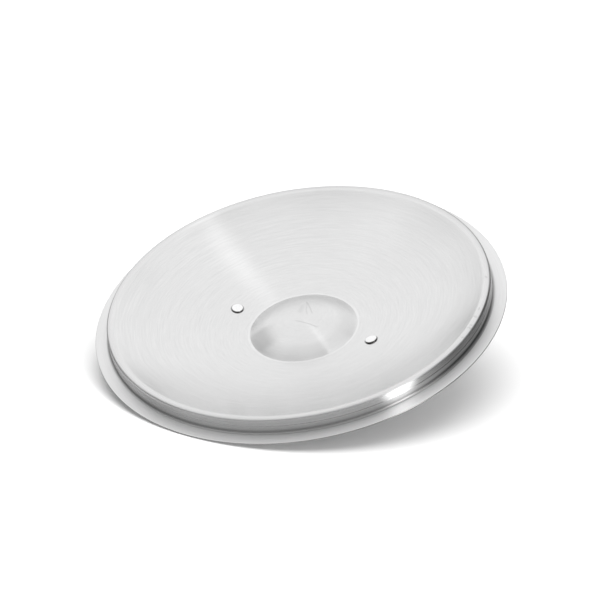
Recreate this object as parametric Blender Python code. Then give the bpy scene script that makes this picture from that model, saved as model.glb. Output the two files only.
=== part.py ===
"""A stainless pot lid: one pressed pan with a strap handle held by two rivets.

The lid stands as it would on its pot, with the handle up (+Z) and running along X.
The origin is on the lid's axis, in the plane of the lip ring, its lowest edge.
All sizes are in metres. Every round section is worked out from its tangent arcs.
"""

import math

import bmesh
import bpy
from mathutils import Matrix, Vector

# Pressed pan. Radii of bends are those of the underside of the sheet.
OUTER_RADIUS = 0.170
SHEET = 0.001
SPIGOT_DEPTH = 0.0127
SPIGOT_DRAFT = math.radians(2.5)
LIP_CENTRE_RADIUS = 0.1556
LIP_BEND = 0.0025
FLANGE_BEND = 0.0018
DOME_CURVATURE = 0.324
RECESS_RADIUS = 0.0452
RECESS_APEX_HEIGHT = 0.0252
RECESS_BEND = 0.0015

# Strap handle.
STRAP_WIDTH = 0.022
STRAP_THICKNESS = 0.0025
STRAP_EDGE_RADIUS = 0.0011
GRIP_HEIGHT = 0.066
SHOULDER_X = 0.046
SHOULDER_BEND = 0.016
HEEL_BEND = 0.007
CROWN_DROP = 0.0012
CROWN_BEND = 0.300

# Rivets.
RIVET_SPREAD = 0.065
SHANK_RADIUS = 0.0017
HEAD_RADIUS = 0.0048
HEAD_HEIGHT = 0.0012
HEAD_EDGE_RADIUS = 0.0005
SNAP_RADIUS = 0.0045
SNAP_HEIGHT = 0.0022

# Room left between pieces that touch on the real lid.
GAP = 0.0003

# Fineness of the facets.
PAN_STEPS = 72
RIVET_STEPS = 24


def clear_scene():
    """Remove every object, so the model starts from nothing."""
    for item in list(bpy.data.objects):
        bpy.data.objects.remove(item, do_unlink=True)


def steel(name, colour, roughness):
    """A bare steel material."""
    material = bpy.data.materials.new(name)
    material.use_nodes = True
    shader = material.node_tree.nodes["Principled BSDF"]
    shader.inputs["Base Color"].default_value = (*colour, 1.0)
    shader.inputs["Metallic"].default_value = 1.0
    shader.inputs["Roughness"].default_value = roughness
    return material


def add_object(name, mesh, material=None):
    """Link a mesh into the scene as a named object, shaded smooth but for its sharp edges."""
    item = bpy.data.objects.new(name, mesh)
    bpy.context.scene.collection.objects.link(item)
    if material:
        mesh.materials.append(material)
        mesh.shade_smooth()
        mesh.set_sharp_from_angle(angle=math.radians(35.0))
    return item


def arc(centre, radius, start, end, steps, hollow_up):
    """Points of an arc in the XZ plane, each with its normal on the handle side of the sheet.

    Angles are measured from +X towards +Z. hollow_up says that the centre is on the handle side.
    """
    samples = []
    for step in range(steps + 1):
        angle = start + (end - start) * step / steps
        away = Vector((math.cos(angle), math.sin(angle)))
        normal = -away if hollow_up else away
        samples.append((centre + radius * away, normal))
    return samples


def angle_of(direction):
    """Angle of a 2-D direction from +X."""
    return math.atan2(direction.y, direction.x)


def dome_centre_height():
    """Height of the dome's centre, which lets the dome meet the lip bend in one tangent line."""
    reach = DOME_CURVATURE + LIP_BEND
    return LIP_BEND - math.sqrt(reach ** 2 - LIP_CENTRE_RADIUS ** 2)


def dome_underside(radius):
    """Height of the dome's underside at a distance from the axis."""
    return dome_centre_height() + math.sqrt(DOME_CURVATURE ** 2 - radius ** 2)


def pan_section():
    """Underside of the pan from its axis to its rim, as points with handle-side normals."""
    dome = Vector((0.0, dome_centre_height()))

    # The crest around the recess is tangent to the dome inside and to the recess outside.
    crest_height = dome.y + math.sqrt((DOME_CURVATURE - RECESS_BEND) ** 2 - RECESS_RADIUS ** 2)
    crest = Vector((RECESS_RADIUS, crest_height))
    rise = crest.y - RECESS_APEX_HEIGHT
    bowl_radius = (RECESS_RADIUS ** 2 + rise ** 2 - RECESS_BEND ** 2) / (2.0 * (RECESS_BEND + rise))
    bowl = Vector((0.0, RECESS_APEX_HEIGHT + bowl_radius))

    lip = Vector((LIP_CENTRE_RADIUS, LIP_BEND))
    wall_normal = Vector((math.cos(SPIGOT_DRAFT), -math.sin(SPIGOT_DRAFT)))
    wall_along = Vector((math.sin(SPIGOT_DRAFT), math.cos(SPIGOT_DRAFT)))
    corner_height = SPIGOT_DEPTH - FLANGE_BEND
    across = lip + (LIP_BEND + FLANGE_BEND) * wall_normal
    corner = across + wall_along * ((corner_height - across.y) / wall_along.y)

    down = -math.pi / 2.0
    up = math.pi / 2.0
    bowl_edge = angle_of(crest - bowl)
    dome_edge = angle_of(lip - dome)

    section = arc(bowl, bowl_radius, down, bowl_edge, 5, hollow_up=True)
    section += arc(crest, RECESS_BEND, bowl_edge + math.pi, angle_of(crest - dome), 3, hollow_up=False)[1:]
    section += arc(dome, DOME_CURVATURE, angle_of(crest - dome), dome_edge, 6, hollow_up=False)[1:]
    section += arc(lip, LIP_BEND, dome_edge - math.pi, angle_of(wall_normal), 5, hollow_up=True)[1:]
    section += arc(corner, FLANGE_BEND, angle_of(-wall_normal), up, 4, hollow_up=False)
    section.append((Vector((OUTER_RADIUS, SPIGOT_DEPTH)), Vector((0.0, 1.0))))
    return section


def revolved(name, outline, steps, material):
    """Turn an XZ outline, given down its outer side, about Z."""
    mesh = bpy.data.meshes.new(name)
    vertices = [(point.x, 0.0, point.y) for point in outline]
    edges = [(index, index + 1) for index in range(len(outline) - 1)]
    mesh.from_pydata(vertices, edges, [])
    item = add_object(name, mesh, material)
    screw = item.modifiers.new("turn", "SCREW")
    screw.steps = steps
    screw.render_steps = steps
    screw.use_merge_vertices = True
    screw.merge_threshold = 0.00001
    return item


def rivet_frame(side):
    """Placement of a rivet: its origin on the dome's underside, its Z along the dome's normal."""
    tilt = math.asin(RIVET_SPREAD / DOME_CURVATURE)
    place = Matrix.Translation((side * RIVET_SPREAD, 0.0, dome_underside(RIVET_SPREAD)))
    return place @ Matrix.Rotation(side * tilt, 4, "Y")


def hole_cutter(side):
    """A hidden rod that clears one rivet's shank and runs well past the sheet and the strap."""
    reach = 4.0 * (SHEET + STRAP_THICKNESS)
    mesh = bpy.data.meshes.new("hole_cutter")
    form = bmesh.new()
    bmesh.ops.create_cone(
        form,
        cap_ends=True,
        segments=RIVET_STEPS,
        radius1=SHANK_RADIUS + GAP,
        radius2=SHANK_RADIUS + GAP,
        depth=reach,
    )
    form.to_mesh(mesh)
    form.free()
    cutter = add_object("hole_cutter", mesh)
    cutter.matrix_world = rivet_frame(side)
    cutter.hide_render = True
    cutter.display_type = "WIRE"
    return cutter


def cut_rivet_holes(item, cutters):
    """Pierce an object for both rivets."""
    for cutter in cutters:
        cut = item.modifiers.new("rivet_hole", "BOOLEAN")
        cut.operation = "DIFFERENCE"
        cut.solver = "EXACT"
        cut.object = cutter


def make_lid_pan(cutters):
    """Flange, spigot, lip, dome and finger recess, pressed from one sheet."""
    section = pan_section()
    topside = [point + SHEET * normal for point, normal in section]
    underside = [point for point, normal in section]
    material = steel("pan_steel", (0.76, 0.76, 0.77), 0.34)
    pan = revolved("lid_pan", topside + underside[::-1], PAN_STEPS, material)
    cut_rivet_holes(pan, cutters)


def rounded_path(corners, bends, steps):
    """A polyline in the XZ plane with an arc of the given bend at each inner corner."""
    path = [corners[0]]
    for before, corner, after, bend in zip(corners, corners[1:], corners[2:], bends):
        back = (before - corner).normalized()
        onward = (after - corner).normalized()
        half = back.angle(onward) / 2.0
        centre = corner + (back + onward).normalized() * (bend / math.sin(half))
        start = corner + back * (bend / math.tan(half)) - centre
        turn = start.angle_signed(corner + onward * (bend / math.tan(half)) - centre)
        for step in range(steps + 1):
            path.append(centre + Matrix.Rotation(-turn * step / steps, 2) @ start)
    path.append(corners[-1])
    return path


def strap_path():
    """Middle line of the strap from one foot's tip to the other, in the XZ plane."""
    middle = SHEET + GAP + STRAP_THICKNESS / 2.0
    frame = rivet_frame(1.0)
    foot = (frame @ Vector((0.0, 0.0, middle))).xz
    along = (frame.to_3x3() @ Vector((1.0, 0.0, 0.0))).xz
    grip = GRIP_HEIGHT - STRAP_THICKNESS / 2.0

    shoulder = Vector((SHOULDER_X, grip - CROWN_DROP))
    heel = foot - along * (STRAP_WIDTH / 2.0 + HEEL_BEND * 0.75)
    tip = foot + along * (STRAP_WIDTH / 2.0)
    half = [Vector((0.0, grip)), shoulder, heel, tip]
    mirrored = [Vector((-point.x, point.y)) for point in half[:0:-1]]
    bends = [HEEL_BEND, SHOULDER_BEND, CROWN_BEND, SHOULDER_BEND, HEEL_BEND]
    return rounded_path(mirrored + half, bends, 5)


def strap_ring(half_width):
    """One cross-section of the strap, as (across, through) pairs round its rounded edges."""
    ring = []
    for quadrant in range(4):
        sign_across = 1.0 if quadrant in (0, 3) else -1.0
        sign_through = 1.0 if quadrant in (0, 1) else -1.0
        for step in range(3):
            angle = math.pi / 2.0 * (quadrant + step / 2.0)
            across = sign_across * (half_width - STRAP_EDGE_RADIUS) + STRAP_EDGE_RADIUS * math.cos(angle)
            flat = STRAP_THICKNESS / 2.0 - STRAP_EDGE_RADIUS
            through = sign_through * flat + STRAP_EDGE_RADIUS * math.sin(angle)
            ring.append((across, through))
    return ring


def round_tip(tip, inner):
    """Stations of a half-round tip, as (point, half width), from its end towards the inner point."""
    radius = STRAP_WIDTH / 2.0
    along = (inner - tip).normalized()
    stations = []
    for degrees in (22.0, 38.0, 54.0, 72.0, 90.0):
        turn = math.radians(degrees)
        stations.append((tip + along * radius * (1.0 - math.cos(turn)), radius * math.sin(turn)))
    return stations


def strap_stations():
    """Stations along the whole strap, as (point, half width)."""
    path = strap_path()
    middle = [(point, STRAP_WIDTH / 2.0) for point in path[1:-1]]
    return round_tip(path[0], path[1]) + middle + round_tip(path[-1], path[-2])[::-1]


def make_handle(cutters):
    """Strap bent into a bow over the recess, its two feet lying on the dome."""
    stations = strap_stations()
    form = bmesh.new()
    rings = []
    for index, (point, half_width) in enumerate(stations):
        before = stations[max(index - 1, 0)][0]
        after = stations[min(index + 1, len(stations) - 1)][0]
        along = (after - before).normalized()
        through = Vector((-along.y, along.x))
        ring = []
        for across, depth in strap_ring(half_width):
            place = point + through * depth
            ring.append(form.verts.new((place.x, across, place.y)))
        rings.append(ring)
    for ring, onward in zip(rings, rings[1:]):
        for index in range(len(ring)):
            beside = (index + 1) % len(ring)
            form.faces.new((ring[index], ring[beside], onward[beside], onward[index]))
    form.faces.new(rings[0][::-1])
    form.faces.new(rings[-1])
    bmesh.ops.recalc_face_normals(form, faces=form.faces)
    mesh = bpy.data.meshes.new("bow_handle")
    form.to_mesh(mesh)
    form.free()
    handle = add_object("bow_handle", mesh, steel("handle_steel", (0.80, 0.80, 0.81), 0.22))
    cut_rivet_holes(handle, cutters)


def rivet_outline():
    """Half section of a rivet from its snap head down to its flat head."""
    seat = SHEET + STRAP_THICKNESS + 2.0 * GAP
    snap_curvature = (SNAP_RADIUS ** 2 + SNAP_HEIGHT ** 2) / (2.0 * SNAP_HEIGHT)
    snap_centre = Vector((0.0, seat + SNAP_HEIGHT - snap_curvature))
    snap_edge = math.asin((snap_curvature - SNAP_HEIGHT) / snap_curvature)
    outline = [point for point, _ in arc(snap_centre, snap_curvature, math.pi / 2.0, snap_edge, 5, False)]
    outline.append(Vector((SHANK_RADIUS, seat)))
    outline.append(Vector((SHANK_RADIUS, -GAP)))
    outline.append(Vector((HEAD_RADIUS, -GAP)))
    bottom = -GAP - HEAD_HEIGHT
    rounding = Vector((HEAD_RADIUS - HEAD_EDGE_RADIUS, bottom + HEAD_EDGE_RADIUS))
    outline += [point for point, _ in arc(rounding, HEAD_EDGE_RADIUS, 0.0, -math.pi / 2.0, 3, False)]
    outline.append(Vector((0.0, bottom)))
    return outline


def make_rivet(name, side, material):
    """One rivet: a flat head inside the lid and a snap head on the handle's foot."""
    rivet = revolved(name, rivet_outline(), RIVET_STEPS, material)
    rivet.matrix_world = rivet_frame(side)


def main():
    """Build the lid."""
    clear_scene()
    cutters = [hole_cutter(-1.0), hole_cutter(1.0)]
    make_lid_pan(cutters)
    make_handle(cutters)
    rivet_material = steel("rivet_steel", (0.82, 0.82, 0.83), 0.16)
    make_rivet("rivet_left", -1.0, rivet_material)
    make_rivet("rivet_right", 1.0, rivet_material)


main()
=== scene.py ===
"""Looks of a stainless pot lid: fine pressed surfaces, brushed steel and a soft white studio.

The lid keeps the frame of its CAD model: handle up (+Z) and along X, lip ring on the XY plane.
The camera sees its underside, as the lid lies upside down, leaning on its rim and its handle.
"""

import math

import bmesh
import bpy
from mathutils import Matrix, Quaternion, Vector


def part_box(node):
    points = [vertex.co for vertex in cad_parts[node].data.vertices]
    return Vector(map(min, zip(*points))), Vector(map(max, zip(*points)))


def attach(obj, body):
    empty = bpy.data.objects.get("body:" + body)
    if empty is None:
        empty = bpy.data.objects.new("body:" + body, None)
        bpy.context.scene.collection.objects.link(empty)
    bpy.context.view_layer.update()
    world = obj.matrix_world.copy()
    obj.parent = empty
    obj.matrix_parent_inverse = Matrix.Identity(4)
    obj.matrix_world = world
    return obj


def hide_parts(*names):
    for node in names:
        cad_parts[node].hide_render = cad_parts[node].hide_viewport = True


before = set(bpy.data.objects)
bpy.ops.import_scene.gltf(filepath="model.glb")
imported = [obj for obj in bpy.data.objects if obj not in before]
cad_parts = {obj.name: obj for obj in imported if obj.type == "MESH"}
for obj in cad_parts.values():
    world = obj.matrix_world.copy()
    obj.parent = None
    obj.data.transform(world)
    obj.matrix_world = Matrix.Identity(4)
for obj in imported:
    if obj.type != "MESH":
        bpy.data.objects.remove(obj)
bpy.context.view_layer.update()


pan_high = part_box("lid_pan")[1]
handle_low, handle_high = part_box("bow_handle")

# Pressed pan. Radii of bends are those of the underside of the sheet.
OUTER_RADIUS = pan_high.x
SHEET = 0.001
SPIGOT_DEPTH = 0.0127
LIP_CENTRE_RADIUS = 0.1564
LIP_EASE = 0.011
LIP_BEND = 0.0016
DOME_CURVATURE = 0.318
RECESS_RADIUS = 0.0452
RECESS_APEX_HEIGHT = 0.0252
RECESS_BEND = 0.0012
RIM_EDGE_RADIUS = 0.0003
FLANGE_START = 0.1603

# The spigot wall: a small step pressed half way up it parts a tapered stretch from a steeper one.
STEP_HEIGHT = 0.0056
STEP_BEND = 0.0010
STEP_TURN = math.radians(24.0)
LOWER_DRAFT = math.radians(3.0)
UPPER_DRAFT = math.radians(1.0)
FLANGE_BEND = 0.0014

# Strap handle.
STRAP_WIDTH = handle_high.y - handle_low.y
STRAP_THICKNESS = 0.0025
STRAP_EDGE_RADIUS = 0.0011
STRAP_CROWN = 0.0005
GRIP_HEIGHT = handle_high.z
SHOULDER_X = 0.046
SHOULDER_BEND = 0.016
HEEL_BEND = 0.007
HEEL_SETBACK = HEEL_BEND * 0.75
CROWN_DROP = 0.0012
CROWN_BEND = 0.300

# Rivets. Spread is their distance from the lid's axis, and contact the gap to what they hold.
RIVET_SPREAD = 0.065
SHANK_RADIUS = 0.0017
HOLE_RADIUS = 0.0019
HEAD_RADIUS = 0.0048
HEAD_HEIGHT = 0.0014
HEAD_EDGE_RADIUS = 0.00045
HEAD_CROWN = 0.00012
SNAP_RADIUS = 0.0045
SNAP_HEIGHT = 0.0022
CONTACT = 0.00004
RIVET_TILT = math.asin(RIVET_SPREAD / DOME_CURVATURE)

# Fineness of the surfaces: steps round a whole turn, along an arc or along a straight stretch.
PAN_STEPS = 288
RIVET_STEPS = 72
HOLE_STEPS = 48
BOWL_STEPS = 24
CREST_STEPS = 8
DOME_STEPS = 48
LIP_STEPS = 10
WALL_STEPS = 6
STEP_BEND_STEPS = 5
FLANGE_BEND_STEPS = 6
FLANGE_STEPS = 8
RIM_EDGE_STEPS = 4
STRAP_BEND_STEPS = 16
STRAP_EDGE_STEPS = 12
STRAP_FLAT_STEPS = 12
TIP_STEPS = 13
SNAP_STEPS = 16
HEAD_STEPS = 8

# An edge that turns by more than this is drawn sharp.
SHARP_ANGLE = math.radians(32.0)
# The strap's round tips start as a narrow flat, this many degrees round from their very end.
TIP_START = 12.0


# ---------------------------------------------------------------- shapes


def add_object(name, data):
    """A new object in the scene."""
    thing = bpy.data.objects.new(name, data)
    bpy.context.scene.collection.objects.link(thing)
    return thing


def finished_mesh(name, form):
    """The mesh of a bmesh, which is freed."""
    mesh = bpy.data.meshes.new(name)
    form.to_mesh(mesh)
    form.free()
    return mesh


def add_piece(name, mesh, material, node):
    """Link a finished mesh as a smooth piece that stands for a CAD node."""
    mesh.materials.clear()
    mesh.materials.append(material)
    mesh.shade_smooth()
    mesh.set_sharp_from_angle(angle=SHARP_ANGLE)
    piece = add_object(name, mesh)
    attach(piece, "root")
    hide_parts(node)


def arc(centre, radius, start, end, steps, hollow_up):
    """Points of an arc in the XZ plane, each with its normal on the handle side of the sheet.

    Angles are measured from +X towards +Z. hollow_up says that the centre is on the handle side.
    """
    samples = []
    for step in range(steps + 1):
        angle = start + (end - start) * step / steps
        away = Vector((math.cos(angle), math.sin(angle)))
        normal = -away if hollow_up else away
        samples.append((centre + radius * away, normal))
    return samples


def points_of(samples):
    """The points of a stretch, without their normals."""
    return [point for point, _ in samples]


def angle_of(direction):
    """Angle of a 2-D direction from +X."""
    return math.atan2(direction.y, direction.x)


def straight(start, end, normal, steps):
    """Evenly spaced points of a straight stretch, with their common normal."""
    return [(start.lerp(end, step / steps), normal) for step in range(1, steps + 1)]


def dome_centre_height():
    """Height of the dome's centre, which lets the dome meet the lip bend in one tangent line."""
    reach = DOME_CURVATURE + LIP_EASE
    return LIP_EASE - math.sqrt(reach ** 2 - LIP_CENTRE_RADIUS ** 2)


def dome_underside(radius):
    """Height of the dome's underside at a distance from the axis."""
    return dome_centre_height() + math.sqrt(DOME_CURVATURE ** 2 - radius ** 2)


def draft_normal(draft):
    """Handle-side normal of a wall that leans outwards by its draft as it rises."""
    return Vector((-math.cos(draft), math.sin(draft)))


def wall_section(lip):
    """The spigot wall from the lip bend to the flange, with its pressed step."""
    lower_out = -draft_normal(LOWER_DRAFT)
    upper_out = -draft_normal(UPPER_DRAFT)
    start = lip + LIP_BEND * lower_out
    rise = STEP_HEIGHT - start.y
    step_start = start + Vector((rise * math.tan(LOWER_DRAFT), rise))
    section = straight(start, step_start, -lower_out, WALL_STEPS)

    turned = angle_of(lower_out) - STEP_TURN
    outer_bend = step_start + STEP_BEND * lower_out
    begin = angle_of(-lower_out)
    section += arc(outer_bend, STEP_BEND, begin, turned + math.pi, STEP_BEND_STEPS, hollow_up=False)[1:]
    inner_bend = section[-1][0] - STEP_BEND * Vector((math.cos(turned), math.sin(turned)))
    section += arc(inner_bend, STEP_BEND, turned, angle_of(upper_out), STEP_BEND_STEPS, hollow_up=True)[1:]
    step_end = section[-1][0].copy()

    bend_start_height = SPIGOT_DEPTH - FLANGE_BEND + FLANGE_BEND * math.sin(UPPER_DRAFT)
    rise = bend_start_height - step_end.y
    bend_start = step_end + Vector((rise * math.tan(UPPER_DRAFT), rise))
    section += straight(step_end, bend_start, -upper_out, WALL_STEPS)
    corner = bend_start + FLANGE_BEND * upper_out
    begin = angle_of(-upper_out)
    section += arc(corner, FLANGE_BEND, begin, math.pi / 2.0, FLANGE_BEND_STEPS, hollow_up=False)[1:]
    return section


def pan_section():
    """Underside of the pan from its axis to its rim, as points with handle-side normals."""
    dome = Vector((0.0, dome_centre_height()))
    crest_height = dome.y + math.sqrt((DOME_CURVATURE - RECESS_BEND) ** 2 - RECESS_RADIUS ** 2)
    crest = Vector((RECESS_RADIUS, crest_height))
    rise = crest.y - RECESS_APEX_HEIGHT
    bowl_radius = (RECESS_RADIUS ** 2 + rise ** 2 - RECESS_BEND ** 2) / (2.0 * (RECESS_BEND + rise))
    bowl = Vector((0.0, RECESS_APEX_HEIGHT + bowl_radius))
    ease = Vector((LIP_CENTRE_RADIUS, LIP_EASE))
    lip = Vector((LIP_CENTRE_RADIUS, LIP_BEND))

    bowl_edge = angle_of(crest - bowl)
    crest_end = angle_of(crest - dome)
    dome_edge = angle_of(ease - dome)
    section = arc(bowl, bowl_radius, -math.pi / 2.0, bowl_edge, BOWL_STEPS, hollow_up=True)
    section += arc(crest, RECESS_BEND, bowl_edge + math.pi, crest_end, CREST_STEPS, hollow_up=False)[1:]
    section += arc(dome, DOME_CURVATURE, crest_end, dome_edge, DOME_STEPS, hollow_up=False)[1:]
    section += arc(ease, LIP_EASE, dome_edge - math.pi, -math.pi / 2.0, LIP_STEPS, hollow_up=True)[1:]
    section += arc(lip, LIP_BEND, -math.pi / 2.0, -LOWER_DRAFT, LIP_STEPS, hollow_up=True)[1:]
    section += wall_section(lip)
    flange_end = Vector((OUTER_RADIUS - RIM_EDGE_RADIUS, SPIGOT_DEPTH))
    section += straight(section[-1][0].copy(), flange_end, Vector((0.0, 1.0)), FLANGE_STEPS)
    return section


def rim_edge():
    """Rounded edge of the flange, from its top to its underside."""
    across = OUTER_RADIUS - RIM_EDGE_RADIUS
    top = Vector((across, SPIGOT_DEPTH + SHEET - RIM_EDGE_RADIUS))
    bottom = Vector((across, SPIGOT_DEPTH + RIM_EDGE_RADIUS))
    edge = arc(top, RIM_EDGE_RADIUS, math.pi / 2.0, 0.0, RIM_EDGE_STEPS, hollow_up=False)[1:]
    edge += arc(bottom, RIM_EDGE_RADIUS, 0.0, -math.pi / 2.0, RIM_EDGE_STEPS, hollow_up=False)[:-1]
    return points_of(edge)


def revolved_mesh(name, outline, steps):
    """Mesh of an XZ outline turned about Z. It starts and ends on the axis, outer side downwards."""
    form = bmesh.new()
    rings = []
    for point in outline[1:-1]:
        ring = []
        for step in range(steps):
            angle = 2.0 * math.pi * step / steps
            place = (point.x * math.cos(angle), point.x * math.sin(angle), point.y)
            ring.append(form.verts.new(place))
        rings.append(ring)
    top = form.verts.new((0.0, 0.0, outline[0].y))
    bottom = form.verts.new((0.0, 0.0, outline[-1].y))
    for index in range(steps):
        beside = (index + 1) % steps
        form.faces.new((top, rings[0][index], rings[0][beside]))
        form.faces.new((bottom, rings[-1][beside], rings[-1][index]))
        for upper, lower in zip(rings, rings[1:]):
            form.faces.new((upper[index], lower[index], lower[beside], upper[beside]))
    return finished_mesh(name, form)


def rivet_frame(side):
    """Placement of a rivet: its origin on the dome's underside, its Z along the dome's normal."""
    place = Matrix.Translation((side * RIVET_SPREAD, 0.0, dome_underside(RIVET_SPREAD)))
    return place @ Matrix.Rotation(side * RIVET_TILT, 4, "Y")


def pierced(mesh):
    """The mesh with a hole for each rivet's shank."""
    blank = add_object("blank", mesh)
    cutters = []
    for side in (-1.0, 1.0):
        rod = bmesh.new()
        bmesh.ops.create_cone(
            rod,
            cap_ends=True,
            segments=HOLE_STEPS,
            radius1=HOLE_RADIUS,
            radius2=HOLE_RADIUS,
            depth=4.0 * (SHEET + STRAP_THICKNESS),
        )
        cutter = add_object("rod", finished_mesh("rod", rod))
        cutter.matrix_world = rivet_frame(side)
        cutters.append(cutter)
        cut = blank.modifiers.new("hole", "BOOLEAN")
        cut.operation = "DIFFERENCE"
        cut.solver = "EXACT"
        cut.object = cutter
    bpy.context.view_layer.update()
    evaluated = blank.evaluated_get(bpy.context.evaluated_depsgraph_get())
    result = bpy.data.meshes.new_from_object(evaluated)
    for helper in [blank] + cutters:
        bpy.data.objects.remove(helper, do_unlink=True)
    return result


def make_pan(material):
    """Flange, spigot, lip, dome and finger recess, pressed from one sheet."""
    section = pan_section()
    topside = [point + SHEET * normal for point, normal in section]
    outline = topside + rim_edge() + points_of(section)[::-1]
    mesh = pierced(revolved_mesh("pressed_pan", outline, PAN_STEPS))
    add_piece("pressed_pan", mesh, material, "lid_pan")


def rounded_path(corners, bends, steps):
    """A polyline in the XZ plane with an arc of the given bend at each inner corner."""
    path = [corners[0]]
    for before, corner, after, bend in zip(corners, corners[1:], corners[2:], bends):
        back = (before - corner).normalized()
        onward = (after - corner).normalized()
        half = back.angle(onward) / 2.0
        centre = corner + (back + onward).normalized() * (bend / math.sin(half))
        reach = bend / math.tan(half)
        start = corner + back * reach - centre
        turn = start.angle_signed(corner + onward * reach - centre)
        for step in range(steps + 1):
            path.append(centre + Matrix.Rotation(-turn * step / steps, 2) @ start)
    path.append(corners[-1])
    return path


def strap_path():
    """Middle line of the strap from one foot's tip to the other, in the XZ plane."""
    middle = SHEET + CONTACT + STRAP_THICKNESS / 2.0
    placing = rivet_frame(1.0)
    foot = (placing @ Vector((0.0, 0.0, middle))).xz
    along = (placing.to_3x3() @ Vector((1.0, 0.0, 0.0))).xz
    grip = GRIP_HEIGHT - STRAP_THICKNESS / 2.0

    shoulder = Vector((SHOULDER_X, grip - CROWN_DROP))
    heel = foot - along * (STRAP_WIDTH / 2.0 + HEEL_SETBACK)
    tip = foot + along * (STRAP_WIDTH / 2.0)
    half = [Vector((0.0, grip)), shoulder, heel, tip]
    mirrored = [Vector((-point.x, point.y)) for point in half[:0:-1]]
    bends = [HEEL_BEND, SHOULDER_BEND, CROWN_BEND, SHOULDER_BEND, HEEL_BEND]
    return rounded_path(mirrored + half, bends, STRAP_BEND_STEPS)


def strap_ring(half_width, crown):
    """One cross-section of the strap, as (across, through) pairs round its rounded edges."""
    flat = half_width - STRAP_EDGE_RADIUS
    depth = STRAP_THICKNESS / 2.0 - STRAP_EDGE_RADIUS
    ring = []
    for step in range(STRAP_EDGE_STEPS + 1):
        angle = math.pi * step / STRAP_EDGE_STEPS - math.pi / 2.0
        side = depth if angle > 0.0 else -depth
        across = flat + STRAP_EDGE_RADIUS * math.cos(angle)
        ring.append((across, side + STRAP_EDGE_RADIUS * math.sin(angle)))
    for step in range(1, STRAP_FLAT_STEPS):
        ring.append((flat - 2.0 * flat * step / STRAP_FLAT_STEPS, STRAP_THICKNESS / 2.0))
    ring += [(-across, -through) for across, through in ring]
    return [(across, through - crown * (across / half_width) ** 2) for across, through in ring]


def round_tip(tip, inner):
    """Stations of a half-round tip, as (point, half width), from its end towards the inner point."""
    radius = STRAP_WIDTH / 2.0
    along = (inner - tip).normalized()
    stations = []
    for step in range(TIP_STEPS + 1):
        turn = math.radians(TIP_START + (90.0 - TIP_START) * step / TIP_STEPS)
        stations.append((tip + along * radius * (1.0 - math.cos(turn)), radius * math.sin(turn)))
    return stations


def strap_mesh():
    """The strap, bent into a bow, crowned along its grip and flat at its feet."""
    path = strap_path()
    middle = [(point, STRAP_WIDTH / 2.0) for point in path[1:-1]]
    stations = round_tip(path[0], path[1]) + middle + round_tip(path[-1], path[-2])[::-1]
    foot_height = max(path[0].y, path[-1].y) + STRAP_THICKNESS
    form = bmesh.new()
    rings = []
    for index, (point, half_width) in enumerate(stations):
        before = stations[max(index - 1, 0)][0]
        after = stations[min(index + 1, len(stations) - 1)][0]
        along = (after - before).normalized()
        through = Vector((-along.y, along.x))
        climb = (point.y - foot_height) / (GRIP_HEIGHT - foot_height)
        crown = STRAP_CROWN * min(max(climb, 0.0), 1.0)
        ring = []
        for across, depth in strap_ring(half_width, crown):
            place = point + through * depth
            ring.append(form.verts.new((place.x, across, place.y)))
        rings.append(ring)
    for ring, onward in zip(rings, rings[1:]):
        for index in range(len(ring)):
            beside = (index + 1) % len(ring)
            form.faces.new((ring[index], ring[beside], onward[beside], onward[index]))
    form.faces.new(rings[0][::-1])
    form.faces.new(rings[-1])
    bmesh.ops.recalc_face_normals(form, faces=form.faces)
    return finished_mesh("strap_handle", form)


def make_handle(material):
    """Strap handle over the recess."""
    add_piece("strap_handle", pierced(strap_mesh()), material, "bow_handle")


def rivet_outline():
    """Half section of a rivet from its snap head down to its flat head."""
    seat = SHEET + STRAP_THICKNESS + 2.0 * CONTACT
    snap_curvature = (SNAP_RADIUS ** 2 + SNAP_HEIGHT ** 2) / (2.0 * SNAP_HEIGHT)
    snap_centre = Vector((0.0, seat + SNAP_HEIGHT - snap_curvature))
    snap_edge = math.asin((snap_curvature - SNAP_HEIGHT) / snap_curvature)
    snap = arc(snap_centre, snap_curvature, math.pi / 2.0, snap_edge, SNAP_STEPS, hollow_up=False)
    outline = points_of(snap)
    outline.append(Vector((SHANK_RADIUS, seat)))
    outline.append(Vector((SHANK_RADIUS, -CONTACT)))
    outline.append(Vector((HEAD_RADIUS, -CONTACT)))
    bottom = -CONTACT - HEAD_HEIGHT
    face = HEAD_RADIUS - HEAD_EDGE_RADIUS
    rounding = Vector((face, bottom + HEAD_EDGE_RADIUS + HEAD_CROWN))
    outline += points_of(arc(rounding, HEAD_EDGE_RADIUS, 0.0, -math.pi / 2.0, HEAD_STEPS, hollow_up=False))
    for step in range(1, HEAD_STEPS + 1):
        across = face * (1.0 - step / HEAD_STEPS)
        outline.append(Vector((across, bottom + HEAD_CROWN * (across / face) ** 2)))
    return outline


def make_rivet(name, side, material):
    """One rivet: a flat head inside the lid and a snap head on the handle's foot."""
    mesh = revolved_mesh(name, rivet_outline(), RIVET_STEPS)
    mesh.transform(rivet_frame(side))
    node = "rivet_left" if side < 0.0 else "rivet_right"
    add_piece(name, mesh, material, node)


# ---------------------------------------------------------------- materials


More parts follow.
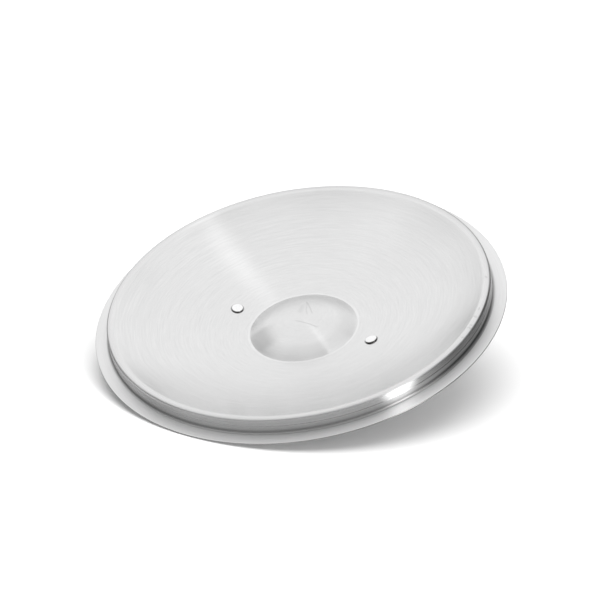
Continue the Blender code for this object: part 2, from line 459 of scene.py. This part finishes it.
class Nodes:
    """Short hand for building the node tree of a material or of the world."""

    def __init__(self, tree):
        self.tree = tree

    def add(self, kind, **settings):
        """Add a node and set its properties."""
        node = self.tree.nodes.new(kind)
        for key, value in settings.items():
            setattr(node, key, value)
        return node

    def link(self, source, target):
        """Join two sockets."""
        self.tree.links.new(source, target)

    def feed(self, values, sockets):
        """Give each socket a number, a colour or another node's output. None leaves it alone."""
        for value, socket in zip(values, sockets):
            if isinstance(value, (int, float)):
                socket.default_value = value
            elif isinstance(value, tuple):
                socket.default_value = (*value, 1.0)
            elif value is not None:
                self.link(value, socket)

    def math(self, operation, first, second=None, third=None):
        """A Math node of sockets or numbers, giving its output."""
        node = self.add("ShaderNodeMath", operation=operation)
        self.feed((first, second, third), node.inputs)
        return node.outputs[0]

    def hypotenuse(self, first, second):
        """Square root of the sum of two squares."""
        squares = self.math("MULTIPLY_ADD", first, first, self.math("MULTIPLY", second, second))
        return self.math("SQRT", squares)

    def opposite(self, mask):
        """A mask turned round: 1 where it is 0, and 0 where it is 1."""
        return self.math("SUBTRACT", 1.0, mask)

    def vector(self, x, y, z):
        """A Combine XYZ node of sockets or numbers."""
        node = self.add("ShaderNodeCombineXYZ")
        self.feed((x, y, z), node.inputs)
        return node.outputs[0]

    def parts(self, vector):
        """The three components of a vector socket."""
        node = self.add("ShaderNodeSeparateXYZ")
        self.link(vector, node.inputs[0])
        return node.outputs[:3]

    def noise(self, vector, scale, detail, roughness):
        """A Noise Texture's factor."""
        node = self.add("ShaderNodeTexNoise")
        node.inputs["Scale"].default_value = scale
        node.inputs["Detail"].default_value = detail
        node.inputs["Roughness"].default_value = roughness
        self.link(vector, node.inputs["Vector"])
        return node.outputs["Fac"]

    def blend(self, first, second, share):
        """A blend of two sockets, with the given share of the second."""
        part = self.math("MULTIPLY", first, 1.0 - share)
        return self.math("ADD", part, self.math("MULTIPLY", second, share))

    def remap(self, value, low, high, to_low, to_high):
        """A Map Range node, clamped."""
        node = self.add("ShaderNodeMapRange")
        node.inputs["From Min"].default_value = low
        node.inputs["From Max"].default_value = high
        node.inputs["To Min"].default_value = to_low
        node.inputs["To Max"].default_value = to_high
        self.link(value, node.inputs["Value"])
        return node.outputs["Result"]

    def spread(self, noise, to_low, to_high):
        """A noise factor's middle part, spread over a range of values."""
        return self.remap(noise, *NOISE_MIDDLE, to_low, to_high)

    def scaled(self, colour, factor):
        """A colour multiplied by a factor."""
        node = self.add("ShaderNodeVectorMath", operation="SCALE")
        self.link(colour, node.inputs[0])
        self.link(factor, node.inputs["Scale"])
        return node.outputs[0]

    def degrees(self, operation, first, second=None):
        """An angle from a Math node, in degrees."""
        return self.math("MULTIPLY", self.math(operation, first, second), 180.0 / math.pi)

    def dot(self, vector, direction):
        """Dot product of a vector socket and a fixed direction."""
        node = self.add("ShaderNodeVectorMath", operation="DOT_PRODUCT")
        self.link(vector, node.inputs[0])
        node.inputs[1].default_value = direction
        return node.outputs["Value"]

    def rise(self, value, at, softness):
        """A smooth step from 0 to 1 as the value passes a threshold."""
        node = self.add("ShaderNodeMapRange", interpolation_type="SMOOTHSTEP")
        node.inputs["From Min"].default_value = at - softness
        node.inputs["From Max"].default_value = at + softness
        self.link(value, node.inputs["Value"])
        return node.outputs["Result"]

    def window(self, value, centre, half, softness):
        """A smooth window, 1 within half a width of its centre and 0 well beyond."""
        begin = self.rise(value, centre - half, softness)
        end = self.rise(value, centre + half, softness)
        return self.math("MULTIPLY", begin, self.opposite(end))

    def scratch(self, x, y, start, end, half):
        """A faint straight mark between two points of the XY plane, 1 along it and 0 beyond."""
        along = Vector(end) - Vector(start)
        middle = (Vector(start) + Vector(end)) / 2.0
        unit = along.normalized()
        run = self.math("MULTIPLY_ADD", x, unit.x, -middle.dot(unit))
        run = self.math("MULTIPLY_ADD", y, unit.y, run)
        off = self.math("MULTIPLY_ADD", x, -unit.y, middle.x * unit.y - middle.y * unit.x)
        off = self.math("MULTIPLY_ADD", y, unit.x, off)
        length = self.window(run, 0.0, along.length / 2.0, along.length / 6.0)
        return self.math("MULTIPLY", length, self.window(off, 0.0, half, half))

    def mix_colour(self, factor, first, second):
        """A colour between two, each a socket or three numbers, by a factor socket."""
        node = self.add("ShaderNodeMix", data_type="RGBA")
        self.link(factor, node.inputs["Factor"])
        self.feed((first, second), (node.inputs["A"], node.inputs["B"]))
        return node.outputs["Result"]

    def bump(self, height, strength):
        """A normal that follows the height of a fine grain."""
        node = self.add("ShaderNodeBump")
        node.inputs["Strength"].default_value = strength
        node.inputs["Distance"].default_value = GRAIN_DEPTH
        self.link(height, node.inputs["Height"])
        return node.outputs[0]


# Steel. A grain's greys run from its darker lines to its lighter ones. The painted shade on a rivet starts
# at a height over its flat head's face, with a softness, and covers the head's side and all of the rivet
# above it.
GRAIN_DEPTH = 0.0002
PAN_GREYS = ((0.740, 0.740, 0.742), (0.815, 0.815, 0.815))
STRAP_GREYS = ((0.74, 0.74, 0.745), (0.82, 0.82, 0.82))
RIVET_GREYS = ((0.92, 0.92, 0.925), (0.97, 0.97, 0.97))
RIVET_SHADE_COLOUR = (0.22, 0.215, 0.21)
RIVET_SHADE_EDGE = (0.00035, 0.0002)
STRAP_ROUGHNESS = (0.18, 0.28)
RIVET_ROUGHNESS = (0.10, 0.20)
PAN_BUMP = 0.07
STRAP_BUMP = 0.10
RIVET_BUMP = 0.15
PAN_BRUSHING = 0.95
STRAP_BRUSHING = 0.5
QUARTER_TURN = 0.25
AXIS_CLEARANCE = 0.0005

# Grain of the pan, as (scale across the rings, scale round them, detail, noise roughness), and grain of
# the strap, as (scale along it, scale across it, detail, noise roughness).
COARSE_RINGS = (700.0, 2.5, 3.0, 0.6)
FINE_RINGS = (1700.0, 6.0, 2.0, 0.7)
FINE_SHARE = 0.65
STRAP_LINES = (30.0, 2400.0, 2.0, 0.6)
# Soft patches and hammer marks, as (scale, detail, noise roughness).
PAN_PATCHES = (22.0, 3.0, 0.5)
STRAP_PATCHES = (60.0, 3.0, 0.5)
RIVET_MARKS = (900.0, 3.0, 0.6)
PATCH_SHARE = 0.5
# Parts of a noise factor's range that are spread over a whole range of values.
NOISE_MIDDLE = (0.3, 0.7)
HAMMER_MARKS = (0.35, 0.7)

# Rises over the pan's radius, as (place, softness): its worn outer part, the wall's outer face, the
# flange and the cut edge.
WORN = (LIP_CENTRE_RADIUS - 0.002, 0.002)
WALL_FACE = (LIP_CENTRE_RADIUS + 0.0006, 0.0004)
FLANGE = (FLANGE_START, 0.0008)
CUT_EDGE = (OUTER_RADIUS - 0.0002, 0.0001)

# Rises over the cosine and the sine of the angle from +X, where the wall's painted dark reflection starts
# towards +X and towards -X and where the painted shade line by the lip starts, and the rise from sheet
# that faces up to sheet that doesn't.
PLUS_X_DARK_REFLECTION = (0.75, 0.20)
MINUS_X_DARK_REFLECTION = (0.95, 0.05)
LIP_SHADE_LINE_START = (0.1, 0.2)
FACING_DOWN = (0.0, 0.3)

# Windows of the underside, as (middle, half width, softness). The wall, which is given painted shade and
# less roughness, and its corner with the flange, which is given painted shade, are windows of height; the
# painted shade line by the lip, the faint darker ring on the recess and the painted highlight by the
# recess's crest are windows of radius; and the painted shade round a rivet's head is one of the distance
# from a rivet's axis.
WALL = (SPIGOT_DEPTH / 2.0, 0.0050, 0.001)
CORNER_SHADE = (SPIGOT_DEPTH - 0.0008, 0.0022, 0.0014)
LIP_SHADE_LINE = (0.1573, 0.0007, 0.0004)
RECESS_DARK_RING = (0.038, 0.006, 0.004)
CREST_HIGHLIGHT = (RECESS_RADIUS + 0.0008, 0.0008, 0.0005)
RIVET_RING_SHADE = (HEAD_RADIUS, 0.0008, 0.0003)

# Change of brightness by each mark, as a share of the steel's own. On the underside these are painted
# shade over the spigot wall, in its corner with the flange, along a line by the lip and round each rivet's
# head, a painted dark reflection on the wall's ends along X, painted light on the flange, a painted
# highlight by the recess's crest, and a faint darker ring on the recess; on both faces, painted shade on
# the cut edge.
WALL_SHADE_TONE = -0.22
CORNER_SHADE_TONE = -0.30
FLANGE_LIGHT_TONE = 0.14
DARK_REFLECTION_TONE = -0.40
LIP_SHADE_LINE_TONE = -0.45
RECESS_DARK_RING_TONE = -0.07
CREST_HIGHLIGHT_TONE = 0.07
RIVET_RING_SHADE_TONE = -0.55
CUT_EDGE_SHADE_TONE = -0.60

# Roughness of the pan: the recess and the dish, the step between them, and what its zones add.
RECESS_EDGE = (RECESS_RADIUS - 0.001, RECESS_RADIUS + 0.001)
RECESS_ROUGHNESS = 0.22
DISH_ROUGHNESS = 0.18
WORN_ROUGHNESS = 0.15
WALL_ROUGHNESS = -0.13
FLANGE_ROUGHNESS = 0.01
GRAIN_ROUGHNESS = 0.02

# Scratches of the recess, a soft stain by its edge and nicks of the lip, on the XY plane:
# (start, end, half width, darkness).
SCRATCHES = (
    ((0.0088, 0.0227), (0.0040, 0.0180), 0.0006, 0.14),
    ((0.0040, 0.0180), (-0.0066, 0.0071), 0.0006, 0.11),
    ((0.0058, 0.0185), (0.0007, 0.0092), 0.0006, 0.08),
    ((0.0007, 0.0092), (-0.0027, 0.0045), 0.0006, 0.08),
    ((0.0022, -0.0058), (-0.0085, -0.0054), 0.0006, 0.12),
    ((-0.0085, -0.0054), (-0.0180, -0.0057), 0.0006, 0.15),
    ((0.0085, 0.0165), (0.0043, 0.0049), 0.0018, 0.07),
    ((0.0285, -0.0190), (0.0120, -0.0355), 0.0065, 0.17),
    ((-0.1371, 0.0690), (-0.1402, 0.0666), 0.0006, 0.16),
    ((-0.1512, 0.0297), (-0.1518, 0.0265), 0.0005, 0.20),
    ((-0.1514, 0.0190), (-0.1550, 0.0171), 0.0007, 0.14),
    ((-0.1534, 0.0078), (-0.1560, 0.0061), 0.0006, 0.16),
    ((-0.1534, 0.0043), (-0.1569, 0.0026), 0.0008, 0.18),
    ((-0.1542, -0.0086), (-0.1565, -0.0089), 0.0006, 0.16),
)


def steel_material(name):
    """A bare metal, with the helper that builds its nodes and its shader."""
    material = bpy.data.materials.new(name)
    material.use_nodes = True
    nodes = Nodes(material.node_tree)
    shader = material.node_tree.nodes["Principled BSDF"]
    shader.inputs["Metallic"].default_value = 1.0
    return material, nodes, shader


class PanPlace:
    """Sockets that tell where a point of the pan lies, which way it faces and in which zone it is."""

    def __init__(self, nodes):
        coordinates = nodes.add("ShaderNodeTexCoord")
        self.place = coordinates.outputs["Object"]
        self.normal = nodes.parts(coordinates.outputs["Normal"])
        self.x, self.y, self.z = nodes.parts(self.place)
        self.radius = nodes.hypotenuse(self.x, self.y)
        divisor = nodes.math("MAXIMUM", self.radius, AXIS_CLEARANCE)
        self.cosine = nodes.math("DIVIDE", self.x, divisor)
        self.sine = nodes.math("DIVIDE", self.y, divisor)
        self.worn = nodes.rise(self.radius, *WORN)
        self.flange = nodes.rise(self.radius, *FLANGE)
        self.wall = nodes.math("MULTIPLY", nodes.window(self.z, *WALL), self.worn)


def ring_grain(nodes, pan, across, around, detail, roughness):
    """Noise drawn out into rings, at one scale across the rings and another round the lid."""
    depth = nodes.math("ADD", pan.radius, pan.z)
    run_x = nodes.math("MULTIPLY", pan.cosine, around)
    run_y = nodes.math("MULTIPLY", pan.sine, around)
    rings = nodes.vector(nodes.math("MULTIPLY", depth, across), run_x, run_y)
    return nodes.noise(rings, 1.0, detail, roughness)


def dark_reflection_mask(nodes, pan):
    """The wall's outer face near its two ends along X, where a dark reflection is painted."""
    face = nodes.math("SUBTRACT", nodes.rise(pan.radius, *WALL_FACE), pan.flange)
    plus_side = nodes.rise(pan.cosine, *PLUS_X_DARK_REFLECTION)
    minus_side = nodes.rise(nodes.math("MULTIPLY", pan.cosine, -1.0), *MINUS_X_DARK_REFLECTION)
    return nodes.math("MULTIPLY", face, nodes.math("ADD", plus_side, minus_side))


def rivet_ring_shade_mask(nodes, pan):
    """A thin ring of painted shade round each rivet's head."""
    offset = nodes.math("SUBTRACT", nodes.math("ABSOLUTE", pan.x), RIVET_SPREAD)
    return nodes.window(nodes.hypotenuse(pan.y, offset), *RIVET_RING_SHADE)


def underside_mask(nodes, pan):
    """1 where the sheet faces down or outwards, and 0 where it faces up."""
    outward = nodes.math("MULTIPLY", pan.normal[0], pan.cosine)
    outward = nodes.math("MULTIPLY_ADD", pan.normal[1], pan.sine, outward)
    return nodes.rise(nodes.math("SUBTRACT", outward, pan.normal[2]), *FACING_DOWN)


def pan_tone(nodes, pan):
    """Brightness of the pan's steel: on its underside painted shade and light, a faint darker ring on the
    recess, scratches, nicks and a stain; and painted shade on its cut edge.
    """
    # Painted shade in the spigot wall's corner with the flange.
    corner = nodes.math("SUBTRACT", pan.worn, pan.flange)
    corner = nodes.math("MULTIPLY", nodes.window(pan.z, *CORNER_SHADE), corner)
    # A painted shade line by the lip, on the +Y half.
    lip_shade_line = nodes.math("MULTIPLY", nodes.window(pan.radius, *LIP_SHADE_LINE), nodes.rise(pan.sine, *LIP_SHADE_LINE_START))
    marks = [
        (pan.wall, WALL_SHADE_TONE),
        (corner, CORNER_SHADE_TONE),
        (pan.flange, FLANGE_LIGHT_TONE),
        (dark_reflection_mask(nodes, pan), DARK_REFLECTION_TONE),
        (lip_shade_line, LIP_SHADE_LINE_TONE),
        (nodes.window(pan.radius, *RECESS_DARK_RING), RECESS_DARK_RING_TONE),
        (nodes.window(pan.radius, *CREST_HIGHLIGHT), CREST_HIGHLIGHT_TONE),
        (rivet_ring_shade_mask(nodes, pan), RIVET_RING_SHADE_TONE),
    ]
    for start, end, half, darkness in SCRATCHES:
        marks.append((nodes.scratch(pan.x, pan.y, start, end, half), -darkness))
    change = 0.0
    for mask, amount in marks:
        change = nodes.math("MULTIPLY_ADD", mask, amount, change)
    tone = nodes.math("MULTIPLY_ADD", change, underside_mask(nodes, pan), 1.0)
    # Painted shade on the cut edge, on both faces of the sheet.
    return nodes.math("MULTIPLY_ADD", nodes.rise(pan.radius, *CUT_EDGE), CUT_EDGE_SHADE_TONE, tone)


def pan_roughness(nodes, pan, grain):
    """Roughness of the pan's zones, varied a little by the grain and by wide soft patches."""
    finish = nodes.remap(pan.radius, *RECESS_EDGE, RECESS_ROUGHNESS, DISH_ROUGHNESS)
    finish = nodes.math("MULTIPLY_ADD", pan.worn, WORN_ROUGHNESS, finish)
    finish = nodes.math("MULTIPLY_ADD", pan.wall, WALL_ROUGHNESS, finish)
    finish = nodes.math("MULTIPLY_ADD", pan.flange, FLANGE_ROUGHNESS, finish)
    patches = nodes.blend(grain, nodes.noise(pan.place, *PAN_PATCHES), PATCH_SHARE)
    return nodes.math("ADD", finish, nodes.spread(patches, -GRAIN_ROUGHNESS, GRAIN_ROUGHNESS))


def ring_steel():
    """Stainless sheet brushed in rings round the lid's axis."""
    material, nodes, shader = steel_material("ring_brushed_steel")
    pan = PanPlace(nodes)
    coarse = ring_grain(nodes, pan, *COARSE_RINGS)
    fine = ring_grain(nodes, pan, *FINE_RINGS)
    shade = nodes.blend(coarse, fine, FINE_SHARE)
    colour = nodes.mix_colour(nodes.spread(shade, 0.0, 1.0), *PAN_GREYS)
    nodes.link(nodes.scaled(colour, pan_tone(nodes, pan)), shader.inputs["Base Color"])
    nodes.link(pan_roughness(nodes, pan, fine), shader.inputs["Roughness"])
    shader.inputs["Anisotropic"].default_value = PAN_BRUSHING
    shader.inputs["Anisotropic Rotation"].default_value = QUARTER_TURN
    tangent = nodes.add("ShaderNodeTangent", direction_type="RADIAL", axis="Z")
    nodes.link(tangent.outputs[0], shader.inputs["Tangent"])
    nodes.link(nodes.bump(shade, PAN_BUMP), shader.inputs["Normal"])
    return material


def strap_steel():
    """Stainless strap with a satin grain along its length."""
    material, nodes, shader = steel_material("lengthwise_satin_steel")
    place = nodes.add("ShaderNodeTexCoord").outputs["Object"]
    x, y, z = nodes.parts(place)
    along_scale, across_scale, *texture = STRAP_LINES
    along = nodes.math("MULTIPLY", nodes.math("ADD", x, z), along_scale)
    across = nodes.math("MULTIPLY", y, across_scale)
    grain = nodes.noise(nodes.vector(along, across, 0.0), 1.0, *texture)
    colour = nodes.mix_colour(nodes.spread(grain, 0.0, 1.0), *STRAP_GREYS)
    nodes.link(colour, shader.inputs["Base Color"])
    patches = nodes.blend(grain, nodes.noise(place, *STRAP_PATCHES), PATCH_SHARE)
    nodes.link(nodes.spread(patches, *STRAP_ROUGHNESS), shader.inputs["Roughness"])
    shader.inputs["Anisotropic"].default_value = STRAP_BRUSHING
    nodes.link(nodes.bump(grain, STRAP_BUMP), shader.inputs["Normal"])
    return material


def rivet_steel():
    """Bright upset steel with faint hammer and die marks, and painted shade on all of it but the flat
    head's face.
    """
    material, nodes, shader = steel_material("bright_rivet_steel")
    place = nodes.add("ShaderNodeTexCoord").outputs["Object"]
    marks = nodes.noise(place, *RIVET_MARKS)
    x, _, z = nodes.parts(place)
    axis = Vector((math.sin(RIVET_TILT), 0.0, math.cos(RIVET_TILT)))
    height = nodes.math("MULTIPLY", nodes.math("ABSOLUTE", x), axis.x)
    height = nodes.math("MULTIPLY_ADD", z, axis.z, height)
    face = (rivet_frame(1.0) @ Vector((0.0, 0.0, -CONTACT - HEAD_HEIGHT))).dot(axis)
    above, softness = RIVET_SHADE_EDGE
    # Painted shade over the head's side and all of the rivet above it; the flat head's face keeps its
    # polished greys.
    unshaded_face = nodes.opposite(nodes.rise(height, face + above, softness))
    polished = nodes.mix_colour(nodes.remap(marks, *HAMMER_MARKS, 0.0, 1.0), *RIVET_GREYS)
    colour = nodes.mix_colour(unshaded_face, RIVET_SHADE_COLOUR, polished)
    nodes.link(colour, shader.inputs["Base Color"])
    nodes.link(nodes.spread(marks, *RIVET_ROUGHNESS), shader.inputs["Roughness"])
    nodes.link(nodes.bump(marks, RIVET_BUMP), shader.inputs["Normal"])
    return material


# ---------------------------------------------------------------- stage, light and camera

# The lid leans on its rim at -Y and on the near edge of its grip.
LEAN = math.atan((GRIP_HEIGHT - SPIGOT_DEPTH - SHEET) / (OUTER_RADIUS - STRAP_WIDTH / 2.0))

# The camera's place round its aim, by azimuth from -Y and elevation, and its roll about its own axis.
CAMERA_AZIMUTH = math.radians(-37.2728)
CAMERA_ELEVATION = math.radians(-35.699)
CAMERA_ROLL = math.radians(168.744)
CAMERA_DISTANCE = 1.3656
CAMERA_AIM = Vector((0.0, 0.00265, 0.00978))
CAMERA_LENS = 99.95
CAMERA_CLIP = (0.01, 50.0)

# Half width of the floors, and how far they lie beyond the steel.
FLOOR_REACH = 6.0
FLOOR_GAP = 0.0002
FLOOR_ROUGHNESS = 0.9
LEANING_FLOOR_GREY = 0.70
UPRIGHT_FLOOR_GREY = 0.9


def one_sided(name, grey):
    """A matt surface seen from its front only, so that it hides nothing from behind."""
    material = bpy.data.materials.new(name)
    material.use_nodes = True
    nodes = Nodes(material.node_tree)
    shader = material.node_tree.nodes["Principled BSDF"]
    output = material.node_tree.nodes["Material Output"]
    shader.inputs["Base Color"].default_value = (grey, grey, grey, 1.0)
    shader.inputs["Roughness"].default_value = FLOOR_ROUGHNESS
    facing = nodes.add("ShaderNodeNewGeometry").outputs["Backfacing"]
    clear = nodes.add("ShaderNodeBsdfTransparent")
    mix = nodes.add("ShaderNodeMixShader")
    nodes.link(facing, mix.inputs[0])
    nodes.link(shader.outputs[0], mix.inputs[1])
    nodes.link(clear.outputs[0], mix.inputs[2])
    nodes.link(mix.outputs[0], output.inputs["Surface"])
    return material


def add_floor(name, place, tilt, grey):
    """A wide floor that only the camera sees, and that shades nothing."""
    mesh = bpy.data.meshes.new(name)
    corners = [(-1.0, -1.0), (1.0, -1.0), (1.0, 1.0), (-1.0, 1.0)]
    mesh.from_pydata([(x * FLOOR_REACH, y * FLOOR_REACH, 0.0) for x, y in corners], [], [(0, 1, 2, 3)])
    floor = add_object(name, mesh)
    mesh.materials.append(one_sided(name, grey))
    floor.matrix_world = Matrix.Translation(place) @ tilt
    floor.visible_diffuse = False
    floor.visible_glossy = False
    floor.visible_transmission = False
    floor.visible_shadow = False


def make_stage():
    """The surface that the upturned lid leans on, and the one under the upright lid."""
    rim_contact = Vector((0.0, -OUTER_RADIUS, SPIGOT_DEPTH + SHEET + FLOOR_GAP))
    upturned = Matrix.Rotation(LEAN, 4, "X") @ Matrix.Rotation(math.pi, 4, "X")
    add_floor("leaning_floor", rim_contact, upturned, LEANING_FLOOR_GREY)
    under_lip = Vector((0.0, 0.0, -FLOOR_GAP))
    add_floor("upright_floor", under_lip, Matrix.Identity(4), UPRIGHT_FLOOR_GREY)


def make_camera():
    """A long lens that looks up at the underside, turned so that the leaning floor is level."""
    data = bpy.data.cameras.new("camera")
    data.lens = CAMERA_LENS
    data.clip_start, data.clip_end = CAMERA_CLIP
    camera = add_object("camera", data)
    level = math.cos(CAMERA_ELEVATION)
    sideways = math.sin(CAMERA_AZIMUTH) * level
    back = Vector((sideways, -math.cos(CAMERA_AZIMUTH) * level, math.sin(CAMERA_ELEVATION)))
    camera.location = CAMERA_AIM + CAMERA_DISTANCE * back
    camera.rotation_mode = "QUATERNION"
    camera.rotation_quaternion = back.to_track_quat("Z", "Y") @ Quaternion((0.0, 0.0, 1.0), CAMERA_ROLL)
    bpy.context.scene.camera = camera
    return camera


# Panels of the studio, each ((azimuth, half width, softness), (elevation, half height, softness),
# strength). Azimuths are from the camera's side and elevations over the leaning floor, in degrees.
# A negative strength is a dark flag.
PANELS = (
    ((-7.0, 84.0, 32.0), (34.0, 18.0, 15.0), 0.69),
    ((-112.0, 12.0, 10.0), (-24.0, 14.0, 8.0), 0.50),
    ((5.0, 68.0, 20.0), (-52.0, 13.0, 9.0), -0.12),
    ((152.0, 52.0, 12.0), (-42.0, 34.0, 8.0), -0.60),
    ((0.0, 200.0, 10.0), (-90.0, 24.0, 8.0), 0.65),
    ((167.0, 13.0, 8.0), (16.0, 9.0, 8.0), -0.32),
    ((-170.0, 14.0, 8.0), (-3.0, 7.0, 6.0), 0.22),
)
# Nothing in the studio is darker than this.
DIMMEST = 0.25
# The ceiling, whose edge lies at a mean elevation that changes with the azimuth's cosine, with its
# sine and with twice the angle's cosine, and a window where the ceiling comes down lower.
CEILING = 1.03
CEILING_EDGE = (51.2, 25.5, 11.6, -8.8)
CEILING_SOFTNESS = 3.0
CEILING_EXTENSION = ((72.0, 42.0, 10.0), (66.0, 13.0, 5.0))
# The ground, below an elevation.
GROUND = 0.68
GROUND_EDGE = -19.0
GROUND_SOFTNESS = 9.0
# The long strip runs beside a vertical circle, measured from straight below the upright lid and up
# towards this angle from +X.
STRIP_MERIDIAN = math.radians(208.98)
# Its stretches, each (window across it, as a sine, window along it, in degrees, strength).
STRIPS = (
    ((0.327, 0.040, 0.04), (-12.0, 12.0, 8.0), 0.18),
    ((0.327, 0.035, 0.03), (-35.0, 15.0, 8.0), 0.05),
    ((0.327, 0.095, 0.06), (58.0, 18.0, 11.0), 1.85),
    ((0.327, 0.125, 0.06), (104.0, 34.0, 12.0), 2.20),
)
# Brightness behind the lid, as the camera sees it, and the lights that only whiten the floors.
BACKDROP = 0.86
LEANING_LIGHT = 2.6
LEANING_SIDE_LIGHT = 1.2
# Where the side light comes from, as parts of up, sideways and forward over the leaning floor.
LEANING_SIDE = (0.55, 0.80, 0.25)
UPRIGHT_LIGHT = 1.23
FLOOR_LIGHT_ANGLE = math.radians(60.0)


def panel(nodes, turn, height, sides, ends):
    """A soft-edged panel, by its windows of azimuth and of elevation in degrees."""
    azimuth, *width = sides
    off = nodes.math("WRAP", nodes.math("SUBTRACT", turn, azimuth), 180.0, -180.0)
    return nodes.math("MULTIPLY", nodes.window(off, 0.0, *width), nodes.window(height, *ends))


def ceiling(nodes, turn, height):
    """The bright ceiling, over a wavy edge, with its lower stretch."""
    angle = nodes.math("MULTIPLY", turn, math.pi / 180.0)
    double = nodes.math("MULTIPLY", angle, 2.0)
    mean, front, right, both = CEILING_EDGE
    edge = nodes.math("MULTIPLY_ADD", nodes.math("COSINE", angle), front, mean)
    edge = nodes.math("MULTIPLY_ADD", nodes.math("SINE", angle), right, edge)
    edge = nodes.math("MULTIPLY_ADD", nodes.math("COSINE", double), both, edge)
    above = nodes.rise(nodes.math("SUBTRACT", height, edge), 0.0, CEILING_SOFTNESS)
    covered = nodes.math("MAXIMUM", above, panel(nodes, turn, height, *CEILING_EXTENSION))
    return nodes.math("MULTIPLY", covered, CEILING)


def studio_sky(nodes, up, forward):
    """Brightness of the studio by direction: ceiling, ground, soft panels and one long strip."""
    heading = nodes.add("ShaderNodeTexCoord").outputs["Generated"]
    side = up.cross(forward)
    turn = nodes.degrees("ARCTAN2", nodes.dot(heading, side), nodes.dot(heading, forward))
    height = nodes.degrees("ARCSINE", nodes.dot(heading, up))
    light = ceiling(nodes, turn, height)
    ground = nodes.rise(nodes.math("MULTIPLY", height, -1.0), -GROUND_EDGE, GROUND_SOFTNESS)
    light = nodes.math("MULTIPLY_ADD", ground, GROUND, light)
    for sides, ends, strength in PANELS:
        light = nodes.math("MULTIPLY_ADD", panel(nodes, turn, height, sides, ends), strength, light)
    meridian = Vector((math.cos(STRIP_MERIDIAN), math.sin(STRIP_MERIDIAN), 0.0))
    offset = nodes.dot(heading, Vector((meridian.y, -meridian.x, 0.0)))
    below = nodes.dot(heading, Vector((0.0, 0.0, -1.0)))
    angle = nodes.degrees("ARCTAN2", nodes.dot(heading, meridian), below)
    for across, along, strength in STRIPS:
        stretch = nodes.math("MULTIPLY", nodes.window(offset, *across), nodes.window(angle, *along))
        light = nodes.math("MULTIPLY_ADD", stretch, strength, light)
    return nodes.math("MAXIMUM", light, DIMMEST)


def add_floor_light(name, direction, strength):
    """A very soft light that whitens a floor and shows in no reflection."""
    data = bpy.data.lights.new(name, "SUN")
    data.energy = strength
    data.angle = FLOOR_LIGHT_ANGLE
    light = add_object(name, data)
    light.rotation_mode = "QUATERNION"
    light.rotation_quaternion = direction.to_track_quat("Z", "Y")
    light.visible_glossy = False


def make_light(camera):
    """The studio round the lid, and a light over each floor."""
    up = Vector((0.0, math.sin(LEAN), -math.cos(LEAN)))
    toward = camera.rotation_quaternion @ Vector((0.0, 0.0, 1.0))
    forward = (toward - toward.dot(up) * up).normalized()
    world = bpy.data.worlds.new("studio")
    world.use_nodes = True
    nodes = Nodes(world.node_tree)
    background = world.node_tree.nodes["Background"]
    seen = nodes.add("ShaderNodeLightPath").outputs["Is Camera Ray"]
    strength = nodes.add("ShaderNodeMix")
    nodes.link(seen, strength.inputs["Factor"])
    nodes.link(studio_sky(nodes, up, forward), strength.inputs["A"])
    strength.inputs["B"].default_value = BACKDROP
    nodes.link(strength.outputs["Result"], background.inputs["Strength"])
    background.inputs["Color"].default_value = (1.0, 1.0, 1.0, 1.0)
    bpy.context.scene.world = world
    add_floor_light("leaning_floor_light", up, LEANING_LIGHT)
    upward, sideways, onward = LEANING_SIDE
    from_side = upward * up + sideways * up.cross(forward) + onward * forward
    add_floor_light("leaning_side_light", from_side.normalized(), LEANING_SIDE_LIGHT)
    add_floor_light("upright_floor_light", Vector((0.0, 0.0, 1.0)), UPRIGHT_LIGHT)
    bpy.context.scene.view_settings.view_transform = "Standard"


# ---------------------------------------------------------------- assembly

make_pan(ring_steel())
make_handle(strap_steel())
rivet_material = rivet_steel()
make_rivet("rivet_minus_x", -1.0, rivet_material)
make_rivet("rivet_plus_x", 1.0, rivet_material)
make_stage()
make_light(make_camera())
